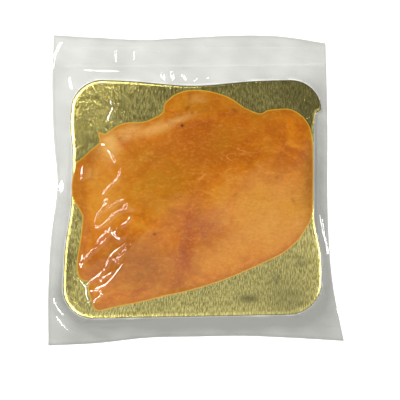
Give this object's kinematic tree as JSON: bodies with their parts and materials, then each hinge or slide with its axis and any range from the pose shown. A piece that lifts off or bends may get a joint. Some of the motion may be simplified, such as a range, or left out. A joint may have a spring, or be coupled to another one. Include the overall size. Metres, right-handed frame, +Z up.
{
  "type": "pack of smoked salmon slices",
  "caption": "Clear vacuum bag, sealed on all four sides, drawn down over overlapping smoked salmon slices on a gold card.",
  "frame": {"origin": "centre of the bag's box, on the flat underside that the pack rests on", "axes": "+X across the bag, +Y along its length, towards the wide seal, +Z up through the slices"},
  "size_m": [0.1962, 0.212, 0.0097],
  "materials": {
    "clear_film": "clear, glossy laminated film, sealed flat round its edge and wrinkled where it is drawn over the food",
    "gold_card": "card faced with gold metallised film, shiny, with fine rolled streaks across it and creases at the corners",
    "smoked_salmon": "moist, translucent orange fish, darker amber at the top and paler gold at the right"
  },
  "bodies": {
    "root": {"sealed_pack": "clear_film"}
  },
  "joints": []
}
